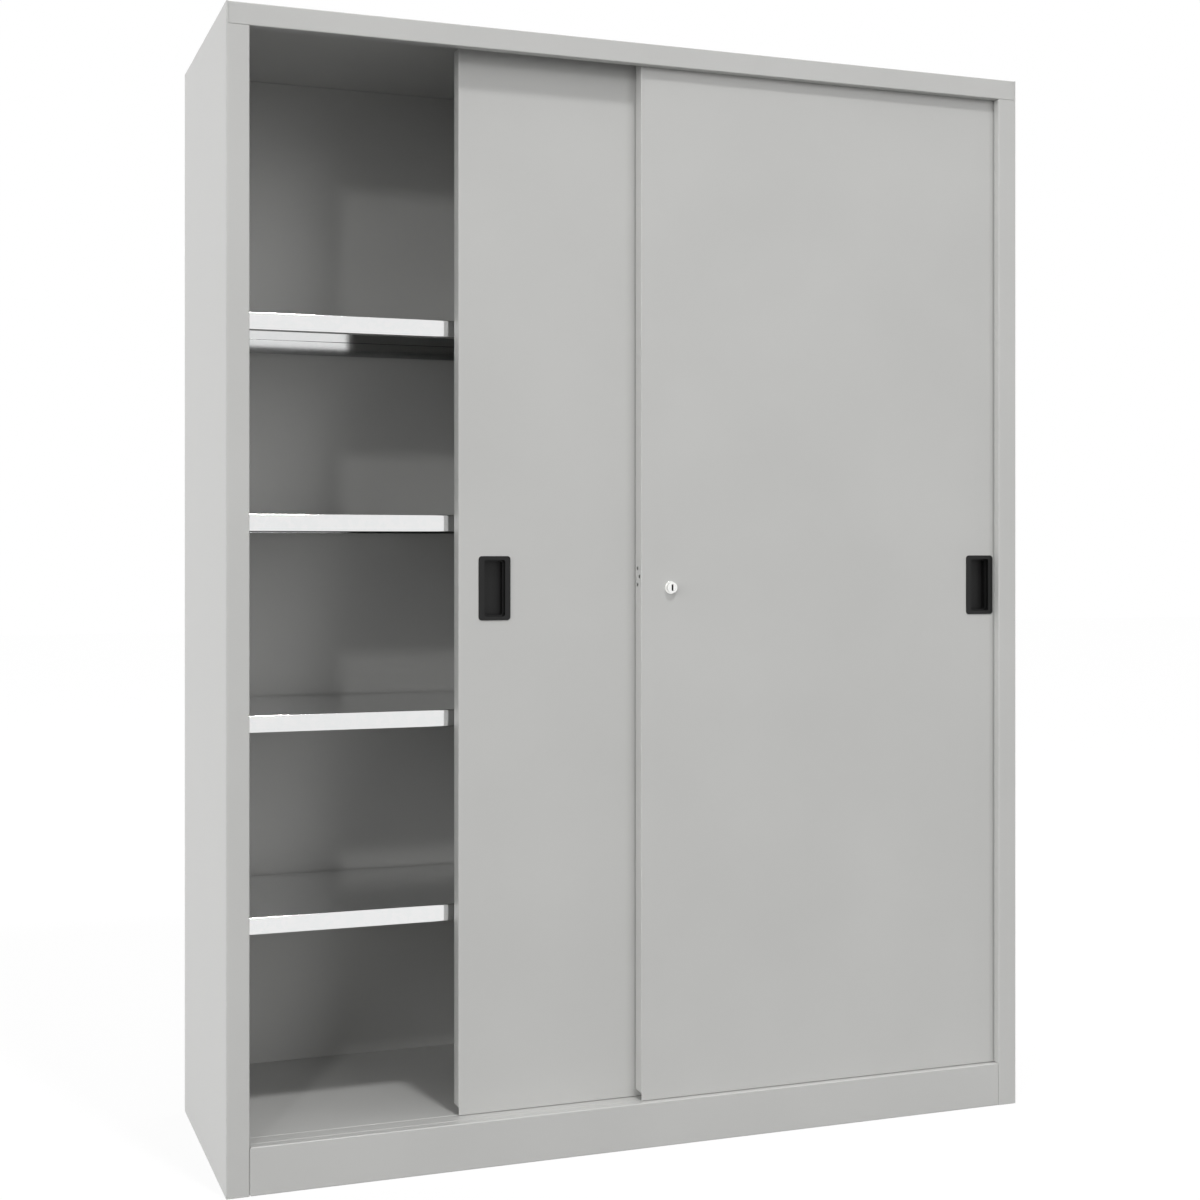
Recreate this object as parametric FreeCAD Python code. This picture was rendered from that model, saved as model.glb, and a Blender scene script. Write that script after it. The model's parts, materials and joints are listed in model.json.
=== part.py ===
import FreeCAD, Part
import math
import os
from FreeCAD import Vector

# Sliding door cabinet in folded sheet steel. Millimetres, +Z up, origin at the centre of the base.
# X runs from left to right, Y from the front to the back. The front door stands at its closed end
# and the rear door part way open, which is the rest position of both.

# Overall size
cabinet_width = 1500.0
cabinet_depth = 500.0
cabinet_height = 1955.0

# Sheet metal
sheet = 1.0
bracket_sheet = 1.5
inside_radius = 0.8
joint_gap = 0.3

# Carcass
stile_width = 38.0
head_height = 37.0
frame_lip = 15.0
edge_strip = 3.5
rear_flange = 25.0
plinth_height = 80.0
plinth_lip = 8.5
plinth_foot = 25.0
floor_drop = 40.0
top_side_drop = 20.0
top_rear_drop = 30.0
rivet_head = 1.0
back_rivet_radius = 4.0
back_rivet_ease = 0.6
back_rivet_count = 9
back_rivet_span = (120.0, 1860.0)

# Floor and bottom track
floor_level = 77.2
track_sheet = 0.8
track_front = 10.3
track_rear = 84.0
rib_places = (25.0, 56.0)
rib_radius = 0.5

# Shelves: galvanised trays that hang on clips
shelf_count = 4
first_shelf = 436.9
shelf_pitch = 341.6
shelf_front = 96.5
shelf_depth = 397.5
shelf_length = 1468.0
shelf_drop = 29.5
shelf_lip = 20.0

# Slotted uprights on the side walls
upright_width = 30.0
upright_depth = 12.0
upright_sheet = 1.2
upright_places = (101.5, 455.0)
upright_top = 1930.0
slot_width = 3.2
slot_height = 12.0
slots_per_shelf = 17
slot_pitch = shelf_pitch / slots_per_shelf
clip_width = 16.0
clip_sheet = 2.0
clip_ledge = 10.0
tongue_thickness = 2.6
tongue_ease = 1.0

# Doors
door_bottom = 79.1
door_top = 1930.0
door_depth = 28.0
door_lip = 12.0
skirt_height = 13.9
cap_height = 50.0
side_clearance = 4.5
front_door_face = 18.0
rear_door_face = 49.0
front_door_left = 735.5
rear_door_left = 407.0
rear_door_width = 787.0

# Hat sections under the floor and inside the doors
hat_slope = 5.0
hat_foot = 20.0
hat_half_top = 20.0

# Running gear
roller_radius = 11.0
roller_width = 8.0
roller_inset = 90.0
roller_ease = 0.8
roller_rim = 3.0
roller_hub_radius = 4.5
roller_recess = 1.2
track_clearance = 0.3
axle_radius = 2.5
axle_head_radius = 4.0
running_clearance = 0.05
fork_clearance = 0.5
bracket_half_length = 15.0
bracket_top_rise = 17.0
bracket_bottom_drop = 5.0
guide_channel_width = 20.4
guide_channel_drop = 18.0
guide_block_width = 17.4
guide_block_length = 40.0
guide_block_height = 19.0
guide_corner = 3.0
buffer_size = (3.2, 14.0, 40.0)
buffer_levels = (220.0, 1780.0)
buffer_ease = 1.0

# Handle cups
handle_width = 58.0
handle_height = 112.0
handle_level = 992.0
handle_inset = 65.2
handle_proud = 2.0
handle_depth = 20.0
handle_side_rim = 10.0
handle_end_rim = 6.5
handle_step = 2.5
handle_step_depth = 7.0
handle_wall = 2.0
handle_corner = 6.0
handle_ease = 1.2

# Push lock
lock_inset = 56.7
lock_level = 991.5
rosette_radius = 11.4
rosette_height = 1.5
barrel_radius = 10.7
barrel_end = 16.0
cylinder_radius = 9.7
cylinder_proud = 9.0
cylinder_end = 14.0
plug_radius = 6.5
plug_setback = 0.2
edge_ease = 0.8
plug_ease = 0.3
plug_length = 18.0
keyway_width = 3.4
keyway_height = 11.2
keyway_depth = 15.0
bolt_radius = 4.0
bolt_end = 22.0
cap_end = 26.0
cap_wall = 1.2
cap_hole_radius = 4.4
spring_radius = 6.8
spring_wire_radius = 0.5
spring_turns = 3
spring_slack = 0.1
nut_across_flats = 27.0
nut_height = 5.0
lock_hole_clearance = 0.2

# Screw holes in the front door's free edge: (place behind the skin, level)
edge_holes = ((17.6, 996.7), (8.8, 1011.2), (17.6, 1025.7))
edge_hole_radius = 3.5

# Weld marks on the ends of the head rail
weld_mark_radius = 1.2
weld_mark_depth = 0.3
weld_mark_inset = 10.0
weld_mark_drops = (6.0, 25.0)


def in_depth(t):
    """Y of a place t behind the front plane."""
    return t - cabinet_depth / 2


def in_width(x):
    """X of a place x from the left side."""
    return x - cabinet_width / 2


def point(axis, a, b, level):
    """A point from its two profile coordinates and its place along the axis."""
    return {"x": Vector(level, a, b), "y": Vector(a, level, b), "z": Vector(a, b, level)}[axis]


def block(x0, x1, y0, y1, z0, z1):
    return Part.makeBox(x1 - x0, y1 - y0, z1 - z0, Vector(x0, y0, z0))


def rod(x, z, y0, y1, radius):
    """A round bar from front to back."""
    return Part.makeCylinder(radius, y1 - y0, Vector(x, y0, z), Vector(0, 1, 0))


def rims(shape, y):
    """The closed edges of a round shape at one place along Y."""
    return [edge for edge in shape.Edges if edge.Closed and abs(edge.CenterOfMass.y - y) < joint_gap / 2]


def rounded_prism(axis, level, length, corners):
    """A prism over a closed outline. Each corner is (a, b, radius)."""
    count = len(corners)
    arcs = []
    for i, (a, b, radius) in enumerate(corners):
        here = Vector(a, b, 0)
        if radius == 0:
            arcs.append((here, None, here))
            continue
        to_last = (Vector(*corners[i - 1][:2], 0) - here).normalize()
        to_next = (Vector(*corners[(i + 1) % count][:2], 0) - here).normalize()
        half = to_last.getAngle(to_next) / 2
        reach = radius / math.tan(half)
        centre = here + (to_last + to_next).normalize() * (radius / math.sin(half))
        middle = centre + (here - centre).normalize() * radius
        arcs.append((here + to_last * reach, middle, here + to_next * reach))

    def at(place):
        return point(axis, place.x, place.y, level)

    edges = []
    for i, (start, middle, end) in enumerate(arcs):
        if middle:
            edges.append(Part.Arc(at(start), at(middle), at(end)).toShape())
        following = arcs[(i + 1) % count][0]
        edges.append(Part.LineSegment(at(end), at(following)).toShape())
    return Part.Face(Part.Wire(edges)).extrude(point(axis, 0, 0, length))


def folded_sheet(axis, level, length, path, thickness=sheet):
    """A folded sheet along an axis. The path follows one face; the metal lies to its left."""
    points = [Vector(a, b, 0) for a, b in path]
    runs = [(after - before).normalize() for before, after in zip(points, points[1:])]
    normals = [Vector(-run.y, run.x, 0) for run in runs]
    near, far = [], []
    for i, place in enumerate(points):
        if i in (0, len(points) - 1):
            normal = normals[0] if i == 0 else normals[-1]
            near.append((place.x, place.y, 0))
            far.append(((place + normal * thickness).x, (place + normal * thickness).y, 0))
            continue
        into, out = normals[i - 1], normals[i]
        shift = (into + out) * (thickness / (1 + into.dot(out)))
        outer, inner = inside_radius + thickness, inside_radius
        turns_left = runs[i - 1].cross(runs[i]).z > 0
        near.append((place.x, place.y, outer if turns_left else inner))
        far.append(((place + shift).x, (place + shift).y, inner if turns_left else outer))
    return rounded_prism(axis, level, length, near + far[::-1])


def joined(shapes):
    """Fuse overlapping solids into one piece."""
    return shapes[0].multiFuse(shapes[1:]).removeSplitter()


def mirrored(shape):
    return shape.mirror(Vector(0, 0, 0), Vector(1, 0, 0))


def both_sides(shape):
    return Part.makeCompound([shape, mirrored(shape)])


def tray(half_length, y0, y1, top, front, rear, side_drop):
    """A tray with its flanges down. front and rear are (drop, lip); a lip of 0 leaves it off."""
    bend = inside_radius + sheet
    (front_drop, front_lip), (rear_drop, rear_lip) = front, rear
    path = [(y1, top - rear_drop), (y1, top), (y0, top), (y0, top - front_drop)]
    if rear_lip:
        path.insert(0, (y1 - rear_lip, top - rear_drop))
    if front_lip:
        path.append((y0 + front_lip, top - front_drop))
    inner = half_length - bend
    long_fold = folded_sheet("x", -inner, 2 * inner, path)
    across = [(half_length, top - side_drop), (half_length, top),
              (-half_length, top), (-half_length, top - side_drop)]
    cross_fold = folded_sheet("y", y0 + bend, y1 - y0 - 2 * bend, across)
    return joined([long_fold, cross_fold])


# Places that several pieces share
half_width = cabinet_width / 2
front_plane = in_depth(0)
back_plane = in_depth(cabinet_depth) - rivet_head
wall_inside = half_width - sheet
head_bottom = cabinet_height - head_height
stile_inside = half_width - stile_width
track_top = floor_level + track_sheet
skirt_top = door_bottom + skirt_height
axle_level = track_top + track_clearance + roller_radius
fork_half_width = roller_width / 2 + fork_clearance + bracket_sheet
front_door_right = cabinet_width - side_clearance
shelf_tops = [first_shelf + i * shelf_pitch for i in range(shelf_count)]


# Carcass

def side_panel():
    """Left side: rear flange, wall and stile in one sheet. The stile stops under the head rail."""
    path = [(-half_width + rear_flange, back_plane), (-half_width, back_plane), (-half_width, front_plane),
            (-stile_inside, front_plane), (-stile_inside, front_plane + frame_lip)]
    panel = folded_sheet("z", 0, cabinet_height, path)
    under_head = block(-half_width + edge_strip, -stile_inside + sheet, front_plane - sheet,
                       front_plane + frame_lip + sheet, head_bottom - joint_gap, cabinet_height)
    under_top = block(-half_width + edge_strip, -half_width + rear_flange + sheet, back_plane - 2 * sheet,
                      back_plane + sheet, cabinet_height - top_rear_drop - joint_gap, cabinet_height)
    behind_plinth = block(-stile_inside - sheet, -stile_inside + sheet, front_plane + plinth_lip,
                          front_plane + frame_lip + sheet, -sheet, plinth_height)
    return panel.cut(under_head).cut(under_top).cut(behind_plinth)


def top_panel():
    """Top with the head rail folded down in front; it drops between the two side walls."""
    panel = tray(wall_inside, front_plane, back_plane, cabinet_height,
                 (head_height, frame_lip), (top_rear_drop, 0), top_side_drop)
    rail_end = half_width - edge_strip - joint_gap
    bend = inside_radius + sheet
    corner = block(-half_width, -rail_end, front_plane - sheet, front_plane + sheet + joint_gap,
                   head_bottom - sheet, cabinet_height + sheet)
    rear_corner = block(-half_width, -rail_end, back_plane - sheet - joint_gap, back_plane + sheet,
                        cabinet_height - top_rear_drop - sheet, cabinet_height + sheet)
    lip_end = block(-half_width, -stile_inside, front_plane + sheet, front_plane + frame_lip + sheet,
                    head_bottom - sheet, head_bottom + bend)
    marks = [rod(-half_width + weld_mark_inset, cabinet_height - drop, front_plane - sheet,
                 front_plane + weld_mark_depth, weld_mark_radius) for drop in weld_mark_drops]
    for cutter in [corner, rear_corner, lip_end] + marks:
        panel = panel.cut(both_sides(cutter))
    return panel


def back_panel():
    """Flat back, inside the rear flanges of the sides and the top."""
    face = back_plane - sheet
    side = wall_inside - sheet
    return block(-side, side, face - sheet, face, joint_gap, cabinet_height - 2 * sheet)


def bottom_panel():
    return tray(wall_inside, in_depth(track_front - joint_gap), back_plane - 2 * sheet - joint_gap,
                floor_level, (floor_drop, 0), (floor_drop, 0), floor_drop)


def plinth_front():
    """Front plinth between the stiles: a lip on top, a foot below and a flange at each end."""
    side = stile_inside - joint_gap
    back_of_lip = front_plane + plinth_lip
    profile = [(front_plane + plinth_foot, 0), (front_plane, 0), (front_plane, plinth_height),
               (back_of_lip, plinth_height), (back_of_lip, plinth_height - frame_lip)]
    profile.reverse()
    bend = inside_radius + sheet
    rail = folded_sheet("x", -side + bend, 2 * (side - bend), profile)
    around = [(-side, back_of_lip), (-side, front_plane), (side, front_plane), (side, back_of_lip)]
    ends = folded_sheet("z", bend, plinth_height - 2 * bend, around)
    return joined([rail, ends])


def plinth_rear():
    """Channel under the floor's back edge, which carries it to the ground."""
    face = back_plane - 2 * sheet - joint_gap - sheet
    top = floor_level - sheet
    path = [(face - rear_flange, 0), (face, 0), (face, top), (face - rear_flange, top)]
    side = wall_inside - 3 * sheet
    return folded_sheet("x", -side, 2 * side, path)


def bottom_track():
    """Strip with a low rib in front of each row of rollers; they run on the flats behind."""
    side = wall_inside - joint_gap
    y0, y1 = in_depth(track_front), in_depth(track_rear)
    strip = block(-side, side, y0, y1, floor_level, track_top)
    ribs = [Part.makeCylinder(rib_radius, 2 * side, Vector(-side, in_depth(t), track_top), Vector(1, 0, 0))
            for t in rib_places]
    above = block(-side, side, y0, y1, floor_level, track_top + rib_radius)
    return joined([strip] + [rib.common(above) for rib in ribs])


def top_guide(door_face):
    """Channel under the top that keeps one door upright."""
    centre = in_depth(door_face + door_depth / 2)
    top = cabinet_height - sheet
    half = guide_channel_width / 2
    path = [(centre + half, top - guide_channel_drop), (centre + half, top),
            (centre - half, top), (centre - half, top - guide_channel_drop)]
    side = wall_inside - 3 * sheet
    return folded_sheet("x", -side, 2 * side, path, upright_sheet)


def corner_plates():
    """Plates behind the frame's top corners, which tie the stiles to the head rail."""
    y0 = front_plane + sheet
    plate = block(-half_width + edge_strip, -stile_inside - 2 * sheet, y0, y0 + bracket_sheet,
                  head_bottom - head_height, cabinet_height - 2 * sheet)
    return both_sides(plate)


def hat(axis, level, length, centre, base, rise):
    """A hat section: two feet on the base plane and a raised middle. A negative rise hangs down."""
    inner, outer = hat_half_top + hat_slope, hat_half_top + hat_slope + hat_foot
    path = [(centre - outer, base), (centre - inner, base), (centre - hat_half_top, base + rise),
            (centre + hat_half_top, base + rise), (centre + inner, base), (centre + outer, base)]
    if rise < 0:
        path.reverse()
    return folded_sheet(axis, level, length, path)


def floor_stiffeners():
    span = (in_depth(track_front) + 2 * sheet, back_plane - 5 * sheet)
    stiffener = hat("y", span[0], span[1] - span[0] - rear_flange, -cabinet_width / 4, floor_level - sheet,
                    -floor_drop + 5 * sheet)
    return both_sides(stiffener)


# Inside

def shelf(top):
    return tray(shelf_length / 2, in_depth(shelf_front), in_depth(shelf_front + shelf_depth), top,
                (shelf_drop, shelf_lip), (shelf_drop, shelf_lip), shelf_drop)


def slot_levels():
    lowest = first_shelf - shelf_drop - clip_sheet - slot_height / 2
    lowest -= slot_pitch * math.floor((lowest - plinth_height) / slot_pitch - 1)
    count = int((upright_top - lowest) / slot_pitch)
    return [lowest + i * slot_pitch for i in range(count)]


def upright(place):
    """Slotted channel on the left wall."""
    y0, y1 = in_depth(place), in_depth(place) + upright_width
    web = -wall_inside + upright_depth
    path = [(-wall_inside, y0), (web, y0), (web, y1), (-wall_inside, y1)]
    channel = folded_sheet("z", floor_level, upright_top - floor_level, path, upright_sheet)
    middle = (y0 + y1) / 2
    slots = [block(web - 2 * upright_sheet, web + sheet, middle - slot_width / 2, middle + slot_width / 2,
                   z - slot_height / 2, z + slot_height / 2) for z in slot_levels()]
    return channel.cut(Part.makeCompound(slots))


def shelf_clips():
    """Hooked clips: a ledge under the shelf, a plate against the upright and a tongue in its slot."""
    web = -wall_inside + upright_depth
    ledge_end = -shelf_length / 2 + clip_ledge
    clips = []
    for place in upright_places:
        middle = in_depth(place) + upright_width / 2
        y0, y1 = middle - clip_width / 2, middle + clip_width / 2
        for top in shelf_tops:
            seat = top - shelf_drop
            ledge = block(web, ledge_end, y0, y1, seat - clip_sheet, seat)
            plate = block(web, web + clip_sheet, y0, y1, seat - clip_sheet - slot_height, seat)
            tongue = block(web - 4 * sheet, web, middle - tongue_thickness / 2, middle + tongue_thickness / 2,
                           seat - clip_sheet - slot_height + tongue_ease, seat - clip_sheet - tongue_ease)
            clips.append(joined([ledge, plate, tongue]))
    return Part.makeCompound(clips + [mirrored(clip) for clip in clips])


def door_buffers():
    """Pads on the side walls, one pair for each door and side."""
    thick, wide, tall = buffer_size
    pads = []
    for face in (front_door_face, rear_door_face):
        middle = in_depth(face + door_depth / 2)
        for level in buffer_levels:
            pad = block(-wall_inside, -wall_inside + thick, middle - wide / 2, middle + wide / 2,
                        level - tall / 2, level + tall / 2)
            near_face = -wall_inside + thick - buffer_ease / 2
            pads.append(pad.makeFillet(buffer_ease, [edge for edge in pad.Edges
                                                     if edge.CenterOfMass.x > near_face]))
    return Part.makeCompound(pads + [mirrored(pad) for pad in pads])


def back_rivets():
    """Rivets that hold the back panel to the side flanges."""
    first, last = back_rivet_span
    rivets = []
    for i in range(back_rivet_count):
        z = first + i * (last - first) / (back_rivet_count - 1)
        head = rod(-half_width + rear_flange / 2 + sheet, z, back_plane, back_plane + rivet_head,
                   back_rivet_radius)
        rivets.append(head.makeFillet(back_rivet_ease, rims(head, back_plane + rivet_head)))
    return Part.makeCompound(rivets + [mirrored(rivet) for rivet in rivets])


# Doors

def door_handle_place(is_front):
    if is_front:
        return in_width(front_door_right - handle_inset)
    return in_width(rear_door_left + handle_inset)


def upright_plate(x, z, width, height, y0, y1, radius):
    """A plate that faces the front, with rounded corners."""
    a0, a1 = x - width / 2, x + width / 2
    b0, b1 = z - height / 2, z + height / 2
    corners = [(a0, b0, radius), (a1, b0, radius), (a1, b1, radius), (a0, b1, radius)]
    return rounded_prism("y", y0, y1 - y0, corners)


def door_panel(x0, x1, face, handle_x):
    """Door leaf: front skin with folded edges. The skin runs on below the side folds as a skirt."""
    y0, y1 = in_depth(face), in_depth(face + door_depth)
    bend = inside_radius + sheet
    around = [(x0 + door_lip, y1), (x0, y1), (x0, y0), (x1, y0), (x1, y1), (x1 - door_lip, y1)]
    leaf = folded_sheet("z", skirt_top, door_top - bend - skirt_top, around)
    over = [(y1 - sheet, door_top - door_lip), (y1 - sheet, door_top), (y0, door_top),
            (y0, door_top - cap_height)]
    cap = folded_sheet("x", x0 + bend, x1 - x0 - 2 * bend, over)
    skirt = block(x0 + inside_radius, x1 - inside_radius, y0, y0 + sheet, door_bottom, skirt_top + sheet)
    panel = joined([leaf, cap, skirt])
    cup_width = handle_width - 2 * handle_side_rim + 2 * handle_wall
    cup_height = handle_height - 2 * handle_end_rim + 2 * handle_wall
    hole = upright_plate(handle_x, handle_level, cup_width + joint_gap, cup_height + joint_gap,
                         y0 - sheet, y0 + 2 * sheet, handle_corner)
    return panel.cut(hole)


def handle_cup(x, face):
    """Moulded finger cup, let into the skin, with a stepped recess."""
    skin = in_depth(face)
    opening_width = handle_width - 2 * handle_side_rim
    opening_height = handle_height - 2 * handle_end_rim
    outer_front, floor = skin - handle_proud, skin + handle_depth - handle_wall
    rim = upright_plate(x, handle_level, handle_width, handle_height, outer_front, skin, handle_corner)
    front_edges = [edge for edge in rim.Edges if edge.CenterOfMass.y < skin - handle_proud / 2
                   and edge.BoundBox.YLength < handle_ease]
    rim = rim.makeFillet(handle_ease, front_edges)
    cup = upright_plate(x, handle_level, opening_width + 2 * handle_wall, opening_height + 2 * handle_wall,
                        skin - handle_proud / 2, skin + handle_depth, handle_corner)
    mouth = upright_plate(x, handle_level, opening_width, opening_height, outer_front - sheet,
                          skin + handle_step_depth, handle_corner - handle_wall)
    well = upright_plate(x, handle_level, opening_width - 2 * handle_step, opening_height - 2 * handle_step,
                         skin, floor, handle_corner - handle_wall)
    return joined([rim, cup]).cut(joined([mouth, well]))


def door_stiffener(x0, x1, face):
    return hat("z", skirt_top + 3 * frame_lip, door_top - skirt_top - 5 * frame_lip, (x0 + x1) / 2,
               in_depth(face) + sheet, door_depth - 8 * sheet)


def roller_places(x0, x1):
    return (x0 + roller_inset, x1 - roller_inset)


def door_bottom_channel(x0, x1, face):
    """Channel inside the leaf's foot, cut out over the rollers."""
    y0, y1 = in_depth(face) + sheet, in_depth(face + door_depth) - sheet
    top = skirt_top + door_lip + frame_lip
    path = [(y0, top), (y0, skirt_top), (y1, skirt_top), (y1, top)]
    end = sheet + inside_radius
    channel = folded_sheet("x", x0 + end, x1 - x0 - 2 * end, path, bracket_sheet)
    middle = in_depth(face + door_depth / 2)
    half = fork_half_width
    holes = []
    for x in roller_places(x0, x1):
        for along, across in ((bracket_half_length, half), (axle_head_radius + sheet, half + 1.5 * sheet)):
            holes.append(block(x - along, x + along, middle - across, middle + across,
                               skirt_top - sheet, skirt_top + 2 * bracket_sheet))
    return channel.cut(Part.makeCompound(holes))


def roller_brackets(x0, x1, face):
    """Forks that hold the rollers in the channel's cut-outs."""
    middle = in_depth(face + door_depth / 2)
    half = fork_half_width
    top, bottom = axle_level + bracket_top_rise, axle_level - bracket_bottom_drop
    path = [(middle + half, bottom), (middle + half, top), (middle - half, top), (middle - half, bottom)]
    forks = []
    for x in roller_places(x0, x1):
        fork = folded_sheet("x", x - bracket_half_length, 2 * bracket_half_length, path, bracket_sheet)
        forks.append(fork.cut(rod(x, axle_level, middle - 2 * half, middle + 2 * half,
                                      axle_radius + 2 * running_clearance)))
    return Part.makeCompound(forks)


def roller_axles(x0, x1, face):
    middle = in_depth(face + door_depth / 2)
    half = fork_half_width
    axles = []
    for x in roller_places(x0, x1):
        shaft = rod(x, axle_level, middle - half - sheet, middle + half + sheet, axle_radius)
        heads = [rod(x, axle_level, start, start + sheet, axle_head_radius)
                 for start in (middle - half - sheet, middle + half)]
        axles.append(joined([shaft] + heads))
    return Part.makeCompound(axles)


def roller(x, face):
    """Nylon wheel with a plain bore and eased rims."""
    middle = in_depth(face + door_depth / 2)
    wheel = rod(x, axle_level, middle - roller_width / 2, middle + roller_width / 2, roller_radius)
    wheel = wheel.makeChamfer(roller_ease, [edge for edge in wheel.Edges if edge.Closed])
    hollow = [rod(x, axle_level, y, y + roller_recess, roller_radius - roller_rim).cut(
                  rod(x, axle_level, y, y + roller_recess, roller_hub_radius))
              for y in (middle - roller_width / 2, middle + roller_width / 2 - roller_recess)]
    bore = rod(x, axle_level, middle - roller_width, middle + roller_width, axle_radius + running_clearance)
    return wheel.cut(Part.makeCompound(hollow)).cut(bore)


def top_guides(x0, x1, face):
    """Nylon blocks on the leaf's top edge, which slide in the guide channel."""
    middle = in_depth(face + door_depth / 2)
    half = guide_block_width / 2
    blocks = []
    for x in roller_places(x0, x1):
        a0, a1 = x - guide_block_length / 2, x + guide_block_length / 2
        corners = [(a0, middle - half, guide_corner), (a1, middle - half, guide_corner),
                   (a1, middle + half, guide_corner), (a0, middle + half, guide_corner)]
        blocks.append(rounded_prism("z", door_top, guide_block_height, corners))
    return Part.makeCompound(blocks)


# Lock, edge plate

lock_x = in_width(front_door_left + lock_inset)
door_skin = in_depth(front_door_face)


def lock_housing():
    """Rosette on the skin and a sleeve through it."""
    rosette = rod(lock_x, lock_level, door_skin - rosette_height, door_skin, rosette_radius)
    rosette = rosette.makeFillet(edge_ease, rims(rosette, door_skin - rosette_height))
    sleeve = rod(lock_x, lock_level, door_skin - sheet, door_skin + barrel_end, barrel_radius)
    bore = rod(lock_x, lock_level, door_skin - 2 * rosette_height, door_skin + barrel_end + sheet,
               cylinder_radius + running_clearance)
    return joined([rosette, sleeve]).cut(bore)


def lock_nut():
    """Hexagon nut behind the skin."""
    start = door_skin + sheet
    corner_radius = nut_across_flats / math.sqrt(3)
    corners = [(lock_x + corner_radius * math.cos(math.radians(60 * i)),
                lock_level + corner_radius * math.sin(math.radians(60 * i)), 0) for i in range(6)]
    nut = rounded_prism("y", start, nut_height, corners)
    return nut.cut(rod(lock_x, lock_level, start - sheet, start + nut_height + sheet,
                       barrel_radius + running_clearance))


def lock_cylinder():
    """Push cylinder; it holds the plug and presses the bolt through the leaf."""
    front = door_skin - cylinder_proud
    body = rod(lock_x, lock_level, front, door_skin + cylinder_end, cylinder_radius)
    hole = rod(lock_x, lock_level, front - sheet, front + plug_length + joint_gap,
               plug_radius + running_clearance)
    return body.makeFillet(edge_ease, rims(body, front)).cut(hole)


def lock_plug():
    """Key plug with its keyway upright."""
    front = door_skin - cylinder_proud + plug_setback
    plug = rod(lock_x, lock_level, front, front + plug_length - plug_setback, plug_radius)
    slot = block(lock_x - keyway_width / 2, lock_x + keyway_width / 2, front - sheet, front + keyway_depth,
                 lock_level - keyway_height / 2, lock_level + keyway_height / 2)
    return plug.makeFillet(plug_ease, rims(plug, front)).cut(slot)


def lock_bolt():
    start = door_skin + cylinder_end
    bolt = rod(lock_x, lock_level, start, door_skin + bolt_end, bolt_radius)
    return bolt.makeChamfer(edge_ease, rims(bolt, door_skin + bolt_end))


def lock_end_cap():
    """Cup behind the sleeve, which holds the spring and guides the bolt."""
    start, end = door_skin + barrel_end, door_skin + cap_end
    cup = rod(lock_x, lock_level, start, end, barrel_radius)
    hollow = rod(lock_x, lock_level, start - sheet, end - cap_wall, cylinder_radius + running_clearance)
    return cup.cut(hollow).cut(rod(lock_x, lock_level, start, end + sheet, cap_hole_radius))


def lock_spring():
    """Coil between the push cylinder and the end cap, of tilted half rings that meet with one tangent."""
    start = door_skin + cylinder_end + spring_wire_radius + spring_slack
    end = door_skin + cap_end - cap_wall - spring_wire_radius - spring_slack
    rise = (end - start) / (2 * spring_turns)
    tilt = math.degrees(math.atan2(rise / 2, spring_radius))
    ring_radius = math.hypot(spring_radius, rise / 2)
    halves = []
    for i in range(2 * spring_turns):
        half = Part.makeTorus(ring_radius, spring_wire_radius, Vector(), Vector(0, 0, 1), 0, 360, 180)
        if i % 2:
            half.rotate(Vector(), Vector(0, 0, 1), 180)
        half.rotate(Vector(), Vector(0, 1, 0), -tilt if i % 2 else tilt)
        half.translate(Vector(0, 0, (i + 0.5) * rise))
        halves.append(half)
    coil = joined(halves).Solids[0]
    coil.rotate(Vector(), Vector(1, 0, 0), -90)
    coil.translate(Vector(lock_x, start, lock_level))
    return coil


def edge_bores():
    """The three screw holes through the front door's free edge."""
    start = in_width(front_door_left) - sheet
    starts = [Vector(start, door_skin + place, level) for place, level in edge_holes]
    return Part.makeCompound([Part.makeCylinder(edge_hole_radius, 3 * sheet, at, Vector(1, 0, 0))
                              for at in starts])


def door_nodes(name, x0, x1, face, handle_x):
    """Every piece of one door, by node name."""
    left, right = roller_places(x0, x1)
    return {
        name + "_panel": door_panel(x0, x1, face, handle_x),
        name + "_stiffener": door_stiffener(x0, x1, face),
        name + "_bottom_channel": door_bottom_channel(x0, x1, face),
        name + "_handle_cup": handle_cup(handle_x, face),
        name + "_top_guides": top_guides(x0, x1, face),
        name + "_roller_brackets": roller_brackets(x0, x1, face),
        name + "_roller_axles": roller_axles(x0, x1, face),
        name + "_roller_left": roller(left, face),
        name + "_roller_right": roller(right, face),
    }


nodes = {
    "left_side_panel": side_panel(),
    "right_side_panel": mirrored(side_panel()),
    "top_panel": top_panel(),
    "back_panel": back_panel(),
    "bottom_panel": bottom_panel(),
    "plinth_front": plinth_front(),
    "plinth_rear": plinth_rear(),
    "bottom_track": bottom_track(),
    "top_guide_front": top_guide(front_door_face),
    "top_guide_rear": top_guide(rear_door_face),
    "corner_plates": corner_plates(),
    "floor_stiffeners": floor_stiffeners(),
    "shelf_clips": shelf_clips(),
    "door_buffers": door_buffers(),
    "back_rivets": back_rivets(),
    "left_front_upright": upright(upright_places[0]),
    "left_rear_upright": upright(upright_places[1]),
    "lock_housing": lock_housing(),
    "lock_nut": lock_nut(),
    "lock_cylinder": lock_cylinder(),
    "lock_plug": lock_plug(),
    "lock_bolt": lock_bolt(),
    "lock_end_cap": lock_end_cap(),
    "lock_spring": lock_spring(),
}
nodes["right_front_upright"] = mirrored(nodes["left_front_upright"])
nodes["right_rear_upright"] = mirrored(nodes["left_rear_upright"])
for number, top in enumerate(shelf_tops, start=1):
    nodes["shelf_%d" % number] = shelf(top)
nodes.update(door_nodes("front_door", in_width(front_door_left), in_width(front_door_right), front_door_face,
                        door_handle_place(True)))
nodes.update(door_nodes("rear_door", in_width(rear_door_left), in_width(rear_door_left + rear_door_width),
                        rear_door_face, door_handle_place(False)))
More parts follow.
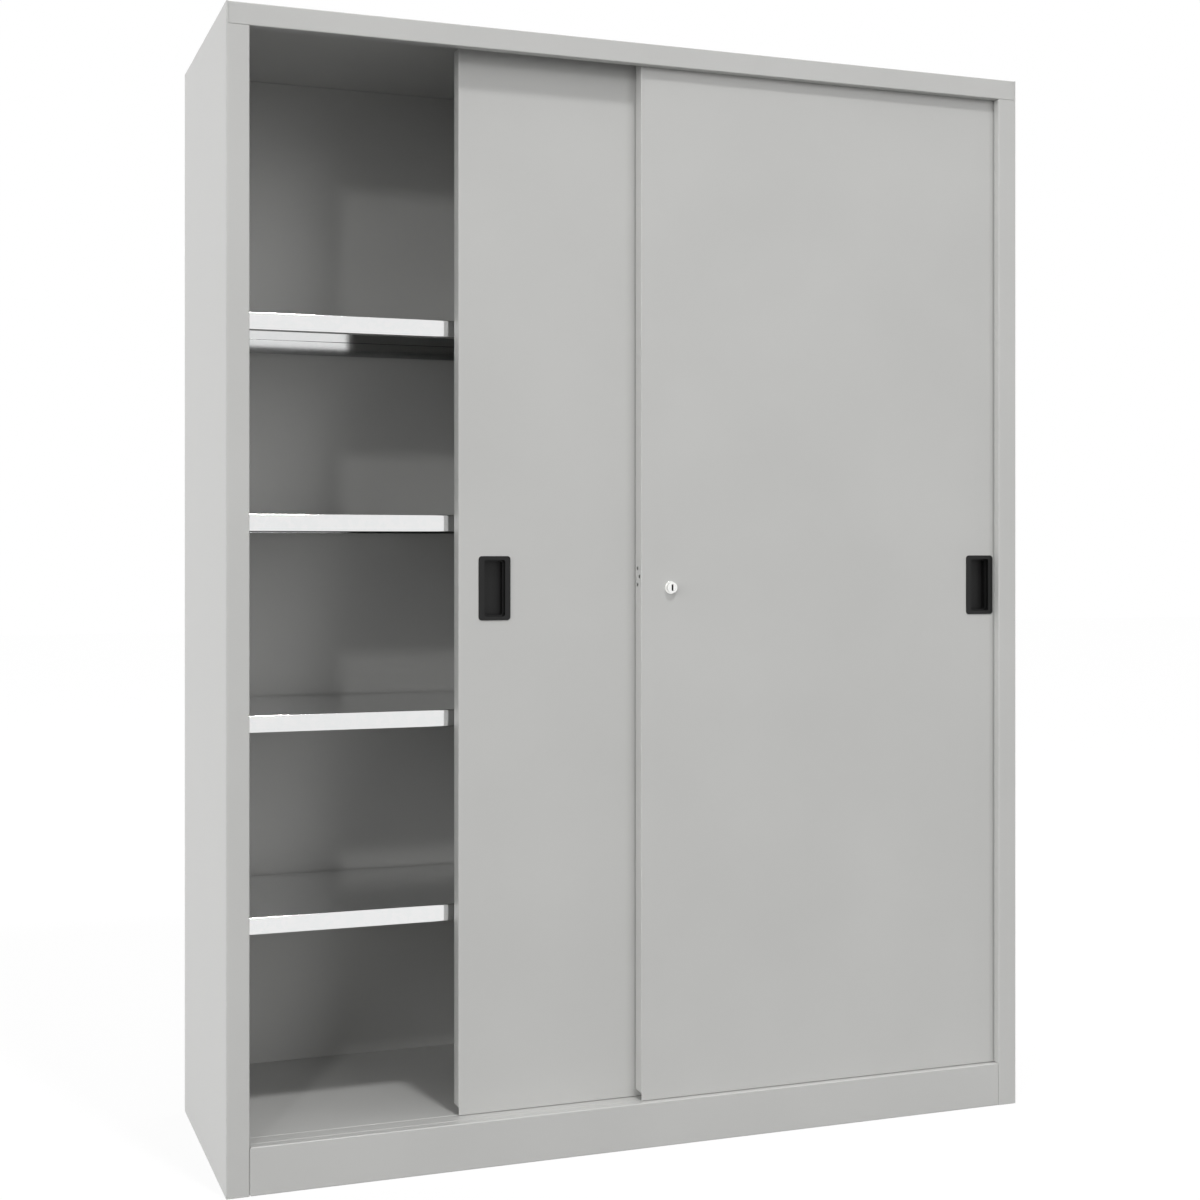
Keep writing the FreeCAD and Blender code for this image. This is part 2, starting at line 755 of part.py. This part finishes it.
lock_hole = rod(lock_x, lock_level, door_skin - sheet, door_skin + 2 * sheet,
                barrel_radius + lock_hole_clearance)
nodes["front_door_panel"] = nodes["front_door_panel"].cut(lock_hole).cut(edge_bores())

os.makedirs("parts", exist_ok=True)
for name, shape in nodes.items():
    shape.exportStep("parts/%s.step" % name)
    print(name, len(shape.Solids), shape.isValid(), round(shape.Volume, 1))
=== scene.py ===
import json
import math

import bpy
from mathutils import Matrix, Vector

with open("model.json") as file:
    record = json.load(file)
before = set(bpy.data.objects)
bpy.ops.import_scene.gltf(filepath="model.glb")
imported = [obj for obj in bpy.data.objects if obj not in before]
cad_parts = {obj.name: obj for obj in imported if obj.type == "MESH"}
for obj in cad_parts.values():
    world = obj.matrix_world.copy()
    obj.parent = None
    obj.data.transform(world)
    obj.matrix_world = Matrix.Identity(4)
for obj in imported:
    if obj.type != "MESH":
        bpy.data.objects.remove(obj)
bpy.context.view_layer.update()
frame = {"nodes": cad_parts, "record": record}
scene = bpy.context.scene
mm = 0.001
print("frame loaded:", len(frame["nodes"]), "nodes")


# Helpers

def linearColour(code):
    # an sRGB hex code as the linear colour that the shader sockets take
    channels = [int(code[i:i + 2], 16) / 255 for i in (1, 3, 5)]
    linear = [c / 12.92 if c <= 0.04045 else ((c + 0.055) / 1.055) ** 2.4 for c in channels]
    return (*linear, 1.0)


def addNode(tree, kind, settings=None, values=None, links=None):
    node = tree.nodes.new(kind)
    for name, value in (settings or {}).items():
        setattr(node, name, value)
    for socket, value in (values or {}).items():
        node.inputs[socket].default_value = value
    for socket, source in (links or {}).items():
        tree.links.new(source, node.inputs[socket])
    return node


def newMaterial(name):
    material = bpy.data.materials.new(name)
    material.use_nodes = True
    material.node_tree.nodes.clear()
    return material, material.node_tree


def finishMaterial(tree, shader):
    addNode(tree, "ShaderNodeOutputMaterial", links={"Surface": shader.outputs[0]})


def patternPlace(tree, stretch=(1, 1, 1)):
    # object coordinates are metres in the cabinet's own frame, so a scale of 1 / size repeats every size
    coordinates = addNode(tree, "ShaderNodeTexCoord")
    return addNode(tree, "ShaderNodeMapping", values={"Scale": stretch},
                   links={"Vector": coordinates.outputs["Object"]})


def addNoise(tree, place, size, detail, roughness=0.5):
    return addNode(tree, "ShaderNodeTexNoise",
                   values={"Scale": 1 / size, "Detail": detail, "Roughness": roughness},
                   links={"Vector": place.outputs[0]})


def addMath(tree, operation, *terms):
    # each term is a number or the output of another node
    values = {i: term for i, term in enumerate(terms) if isinstance(term, float)}
    links = {i: term for i, term in enumerate(terms) if not isinstance(term, float)}
    return addNode(tree, "ShaderNodeMath", {"operation": operation}, values, links).outputs[0]


# Where along a pattern's values one colour starts to turn into the other, and where it ends
colourChange = (0.35, 0.65)


def betweenColours(tree, factor, first, second):
    ramp = addNode(tree, "ShaderNodeValToRGB", links={"Fac": factor})
    for element, position, colour in zip(ramp.color_ramp.elements, colourChange, (first, second)):
        element.position = position
        element.color = linearColour(colour)
    return ramp


def betweenLevels(tree, factor, first, second):
    return addNode(tree, "ShaderNodeMapRange", values={"To Min": first, "To Max": second},
                   links={"Value": factor})


def addSurface(tree, colour, gloss, relief, reliefHeight, values):
    bump = addNode(tree, "ShaderNodeBump", values={"Strength": 1.0, "Distance": reliefHeight},
                   links={"Height": relief})
    return addNode(tree, "ShaderNodeBsdfPrincipled", values=values,
                   links={"Base Color": colour.outputs[0], "Roughness": gloss.outputs[0],
                          "Normal": bump.outputs[0]})


# Polyester powder coat, sprayed and baked: satin light grey with a soft orange peel
powderCoat = {
    "colour": "#C1C1BF",
    "thinColour": "#BEBEBC",   # where the film is a little thinner
    "roughness": (0.28, 0.34),
    "ior": 1.5,
    "peelSize": 5.0 * mm,      # real orange peel is 1 to 2 mm; drawn coarser so that it shows
    "peelHeight": 0.012 * mm,
    "filmSize": 260.0 * mm,    # slow drift of the film's thickness along a panel
}


def makePowderCoat(spec):
    material, tree = newMaterial("powderCoatedSteel")
    place = patternPlace(tree)
    film = addNoise(tree, place, spec["filmSize"], 3.0, 0.45)
    peel = addNoise(tree, place, spec["peelSize"], 2.0)
    colour = betweenColours(tree, film.outputs["Fac"], spec["thinColour"], spec["colour"])
    gloss = betweenLevels(tree, film.outputs["Fac"], *spec["roughness"])
    shader = addSurface(tree, colour, gloss, peel.outputs["Fac"], spec["peelHeight"], {"IOR": spec["ior"]})
    finishMaterial(tree, shader)
    return material


# Bright galvanised sheet, hot-dipped and skin-passed: near-mirror zinc with flattened crystals
galvanisedSheet = {
    "colour": "#E9E9E9",
    "crystalColour": "#E7E8E8",
    "roughness": (0.066, 0.072),
    "crystalSize": 9.0 * mm,    # spangle after the skin pass
    "rollSize": 0.8 * mm,       # rolling lines along the sheet, drawn wider than real so that they show
    "rollHeight": 0.001 * mm,
    "rollStretch": 0.02,        # squeezes the pattern along the sheet, so that it draws long lines
}


def makeGalvanisedSheet(spec):
    material, tree = newMaterial("galvanisedSheet")
    place = patternPlace(tree)
    crystals = addNode(tree, "ShaderNodeTexVoronoi",
                       values={"Scale": 1 / spec["crystalSize"], "Randomness": 1.0},
                       links={"Vector": place.outputs[0]})
    shade = addNode(tree, "ShaderNodeSeparateColor", links={"Color": crystals.outputs["Color"]})
    colour = betweenColours(tree, shade.outputs["Red"], spec["crystalColour"], spec["colour"])
    gloss = betweenLevels(tree, shade.outputs["Green"], *spec["roughness"])
    lines = patternPlace(tree, stretch=(spec["rollStretch"], 1, 1))
    rolling = addNoise(tree, lines, spec["rollSize"], 1.0)
    shader = addSurface(tree, colour, gloss, rolling.outputs["Fac"], spec["rollHeight"], {"Metallic": 1.0})
    finishMaterial(tree, shader)
    return material


# Zinc-plated steel, barrel-plated: grey metal with a cloudy passivation
zincPlate = {
    "colour": "#C6C8CA",
    "cloudColour": "#B4B6B7",
    "roughness": (0.25, 0.42),
    "cloudSize": 14.0 * mm,
    "grainSize": 1.2 * mm,
    "grainHeight": 0.006 * mm,
}

# Nickel-plated brass, turned and polished: bright, slightly warm metal with fine lathe rings
nickelPlate = {
    "colour": "#F8F8F6",
    "cloudColour": "#F4F4F2",
    "roughness": (0.10, 0.15),
    "cloudSize": 6.0 * mm,
    "grainSize": 0.5 * mm,
    "grainHeight": 0.003 * mm,
}


# Inside the keyway: painted shade, a dark colour standing in for the shade deep in the narrow slot
keywayShade = {
    "colour": "#1E1B16",
    "roughness": 0.7,
    "setback": 0.5 * mm,        # the painted shade starts this far behind the plug's face
    "bevel": 0.3 * mm,
}
plugFace = min(corner[1] for corner in frame["nodes"]["lock_plug"].bound_box)


def makePlatedMetal(name, spec, keyway=None):
    material, tree = newMaterial(name)
    place = patternPlace(tree)
    clouds = addNoise(tree, place, spec["cloudSize"], 4.0, 0.6)
    grain = addNoise(tree, place, spec["grainSize"], 1.0)
    colour = betweenColours(tree, clouds.outputs["Fac"], spec["cloudColour"], spec["colour"])
    low, high = spec["roughness"]
    gloss = betweenLevels(tree, clouds.outputs["Fac"], high, low)
    shader = addSurface(tree, colour, gloss, grain.outputs["Fac"], spec["grainHeight"], {"Metallic": 1.0})
    if keyway:
        coordinates = addNode(tree, "ShaderNodeTexCoord")
        depth = addNode(tree, "ShaderNodeSeparateXYZ", links={0: coordinates.outputs["Object"]})
        mouth = plugFace + keyway["setback"]
        inside = addNode(tree, "ShaderNodeMapRange",
                         values={"From Min": mouth, "From Max": mouth + keyway["bevel"]},
                         links={"Value": depth.outputs["Y"]})
        # painted shade: the keyway's walls are coloured dark for the shade that falls inside the slot
        paintedShade = addNode(tree, "ShaderNodeBsdfPrincipled",
                       values={"Base Color": linearColour(keyway["colour"]),
                               "Roughness": keyway["roughness"]})
        shader = addNode(tree, "ShaderNodeMixShader",
                         links={0: inside.outputs[0], 1: shader.outputs[0], 2: paintedShade.outputs[0]})
    finishMaterial(tree, shader)
    return material


# ABS, injection-moulded and spark-eroded: satin black with an even fine grain
blackAbs = {
    "colour": "#0A0A0A",
    "fineColour": "#101010",
    "roughness": (0.42, 0.54),
    "ior": 1.49,
    "mirror": 0.36,            # the eroded grain shades itself, so it mirrors less than smooth plastic
    "grainSize": 1.4 * mm,     # real grain is 0.3 mm; drawn coarser so that it shows
    "grainHeight": 0.02 * mm,
    "subsurface": 0.0,
}

# Polyamide (nylon), moulded: milky off-white that lets a little light in
naturalNylon = {
    "colour": "#E4E0D2",
    "fineColour": "#DCD7C6",
    "roughness": (0.38, 0.50),
    "ior": 1.53,
    "mirror": 0.5,
    "grainSize": 2.0 * mm,
    "grainHeight": 0.01 * mm,
    "subsurface": 0.15,
}

# EPDM rubber, moulded: dull black
blackRubber = {
    "colour": "#1A1A1A",
    "fineColour": "#232323",
    "roughness": (0.70, 0.85),
    "ior": 1.52,
    "mirror": 0.5,
    "grainSize": 1.0 * mm,
    "grainHeight": 0.03 * mm,
    "subsurface": 0.0,
}


scatterDepth = 2.0 * mm     # how deep light goes into nylon


def makeMoulded(name, spec):
    material, tree = newMaterial(name)
    grain = addNoise(tree, patternPlace(tree), spec["grainSize"], 2.0)
    colour = betweenColours(tree, grain.outputs["Fac"], spec["fineColour"], spec["colour"])
    gloss = betweenLevels(tree, grain.outputs["Fac"], *spec["roughness"])
    shader = addSurface(tree, colour, gloss, grain.outputs["Fac"], spec["grainHeight"],
                        {"IOR": spec["ior"], "Specular IOR Level": spec["mirror"],
                         "Subsurface Weight": spec["subsurface"], "Subsurface Scale": scatterDepth})
    finishMaterial(tree, shader)
    return material


finishes = {
    "painted_steel": makePowderCoat(powderCoat),
    "galvanised_steel": makeGalvanisedSheet(galvanisedSheet),
    "zinc_plated_steel": makePlatedMetal("zincPlatedSteel", zincPlate),
    "nickel_plated_brass": makePlatedMetal("nickelPlatedBrass", nickelPlate),
    "black_plastic": makeMoulded("blackAbs", blackAbs),
    "nylon": makeMoulded("naturalNylon", naturalNylon),
    "rubber": makeMoulded("blackRubber", blackRubber),
}
special = {"lock_plug": makePlatedMetal("nickelPlatedPlug", nickelPlate, keywayShade)}
print("materials made:", len(finishes) + len(special))

for part in frame["record"]["subparts"]:
    node = frame["nodes"][part["node"]]
    node.data.materials.clear()
    node.data.materials.append(special.get(part["node"], finishes[part["material_slot"]]))


# Floor and light

studio = {
    "floorSize": 40.0,
    "floorColour": "#FFFFFF",
    "floorBounce": "#909090",   # what the floor gives back to the object
    "floorShadow": 0.10,        # share of the floor's own shading that the camera sees over white
    "skyLevel": 0.35,           # what the surroundings give to matt surfaces
}

# Brighter parts of the surroundings, added to the sky.
# A turn is in degrees to the right of the front, a height in degrees above the horizon.
skyPatches = {
    "leftWall": {"turn": (-90, -60), "height": (-5, 30), "level": 3.60},
    "leftScreen": {"turn": (-45, -30), "height": (-5, 30), "level": 2.35},
    "rightScreen": {"turn": (15, 30), "height": (-5, 30), "level": 2.45},
    "frontCeiling": {"turn": (-90, 90), "height": (30, 90), "level": 0.24},
    "rearLeft": {"turn": (-181, -90), "height": (-5, 90), "level": 0.45},
    "rearRight": {"turn": (60, 181), "height": (-5, 90), "level": 0.60},
}

# Soft lamps. With a constant falloff a lamp lights near and far places alike, as several in a row would.
lamps = {
    "keyLamp": {"place": (0.10, -2.80, 5.10), "aim": (0.0, -0.25, 1.0), "size": 0.50, "power": 3.5},
    "sideLamp": {"place": (-2.30, -3.25, 2.90), "aim": (-0.4, 0.0, 1.0), "size": 0.25, "power": 0.95},
}


def raysThatShowWhite(tree):
    # 1 for what the camera sees directly, in a mirror or through glass
    paths = addNode(tree, "ShaderNodeLightPath")
    mirrored = addMath(tree, "MAXIMUM", paths.outputs["Is Camera Ray"], paths.outputs["Is Glossy Ray"])
    return addMath(tree, "MAXIMUM", mirrored, paths.outputs["Is Transmission Ray"])


def makeFloor(spec):
    half = spec["floorSize"] / 2
    mesh = bpy.data.meshes.new("floor")
    corners = [(-half, -half, 0), (half, -half, 0), (half, half, 0), (-half, half, 0)]
    mesh.from_pydata(corners, [], [(0, 1, 2, 3)])
    floor = bpy.data.objects.new("floor", mesh)
    scene.collection.objects.link(floor)
    material, tree = newMaterial("studioFloor")
    seen = raysThatShowWhite(tree)
    colour = addNode(tree, "ShaderNodeMix", {"data_type": "RGBA"},
                     values={6: linearColour(spec["floorBounce"]), 7: linearColour(spec["floorColour"])},
                     links={0: seen})
    matt = addNode(tree, "ShaderNodeBsdfDiffuse", links={"Color": colour.outputs[2]})
    white = addNode(tree, "ShaderNodeEmission", values={"Color": (1, 1, 1, 1), "Strength": 1.0})
    share = addMath(tree, "MULTIPLY", seen, 1 - spec["floorShadow"])
    mix = addNode(tree, "ShaderNodeMixShader", links={0: share, 1: matt.outputs[0], 2: white.outputs[0]})
    finishMaterial(tree, mix)
    mesh.materials.append(material)


def insideRange(tree, angle, limits):
    # 1 where an angle lies within limits in degrees
    above = addMath(tree, "GREATER_THAN", angle, math.radians(limits[0]))
    below = addMath(tree, "LESS_THAN", angle, math.radians(limits[1]))
    return addMath(tree, "MULTIPLY", above, below)


def makeSky(spec, patches):
    world = bpy.data.worlds.new("studio")
    world.use_nodes = True
    scene.world = world
    tree = world.node_tree
    tree.nodes.clear()
    direction = addNode(tree, "ShaderNodeTexCoord")
    parts = addNode(tree, "ShaderNodeSeparateXYZ", links={0: direction.outputs["Generated"]})
    forward = addMath(tree, "MULTIPLY", parts.outputs["Y"], -1.0)
    turn = addMath(tree, "ARCTAN2", parts.outputs["X"], forward)
    height = addMath(tree, "ARCSINE", parts.outputs["Z"])
    level = spec["skyLevel"]
    for patch in patches.values():
        across = insideRange(tree, turn, patch["turn"])
        upright = insideRange(tree, height, patch["height"])
        inside = addMath(tree, "MULTIPLY", across, upright)
        level = addMath(tree, "MULTIPLY_ADD", inside, patch["level"], level)
    shown = addNode(tree, "ShaderNodeMix", {"data_type": "FLOAT"}, values={3: 1.0},
                    links={0: raysThatShowWhite(tree), 2: level})
    background = addNode(tree, "ShaderNodeBackground", values={"Color": (1, 1, 1, 1)},
                         links={"Strength": shown.outputs[0]})
    addNode(tree, "ShaderNodeOutputWorld", links={"Surface": background.outputs[0]})


def makeLamp(name, spec):
    lamp = bpy.data.lights.new(name, "AREA")
    lamp.shape = "DISK"
    lamp.size = spec["size"]
    lamp.energy = spec["power"]
    lamp.use_nodes = True
    tree = lamp.node_tree
    tree.nodes.clear()
    falloff = addNode(tree, "ShaderNodeLightFalloff", values={"Strength": 1.0})
    glow = addNode(tree, "ShaderNodeEmission", links={"Strength": falloff.outputs["Constant"]})
    addNode(tree, "ShaderNodeOutputLight", links={"Surface": glow.outputs[0]})
    lampObject = bpy.data.objects.new(name, lamp)
    lampObject.location = spec["place"]
    direction = Vector(spec["aim"]) - Vector(spec["place"])
    lampObject.rotation_euler = direction.to_track_quat("-Z", "Y").to_euler()
    scene.collection.objects.link(lampObject)


makeFloor(studio)
makeSky(studio, skyPatches)
for name, spec in lamps.items():
    makeLamp(name, spec)
print("floor and light made")


# Camera

viewpoint = {
    "place": (-1215.06 * mm, -3224.44 * mm, 1061.70 * mm),
    "turn": 20.0545,            # degrees to the right of straight ahead; the camera is level
    "frameSize": 1200,          # pixels across the square frame
    "focalLength": 1812.39,     # in the same pixels
    "centre": (584.09, 548.25),
    "sensor": 36.0,
    "farthest": 100.0,          # metres that the camera sees
}


def makeCamera(spec):
    camera = bpy.data.cameras.new("camera")
    size = spec["frameSize"]
    camera.sensor_width = spec["sensor"]
    camera.lens = spec["focalLength"] / size * spec["sensor"]
    camera.shift_x = (size / 2 - spec["centre"][0]) / size
    camera.shift_y = (spec["centre"][1] - size / 2) / size
    camera.clip_end = spec["farthest"]
    cameraObject = bpy.data.objects.new("camera", camera)
    cameraObject.location = spec["place"]
    cameraObject.rotation_euler = (math.radians(90), 0, -math.radians(spec["turn"]))
    scene.collection.objects.link(cameraObject)
    scene.camera = cameraObject


makeCamera(viewpoint)
scene.view_settings.view_transform = "Standard"
print("camera made")
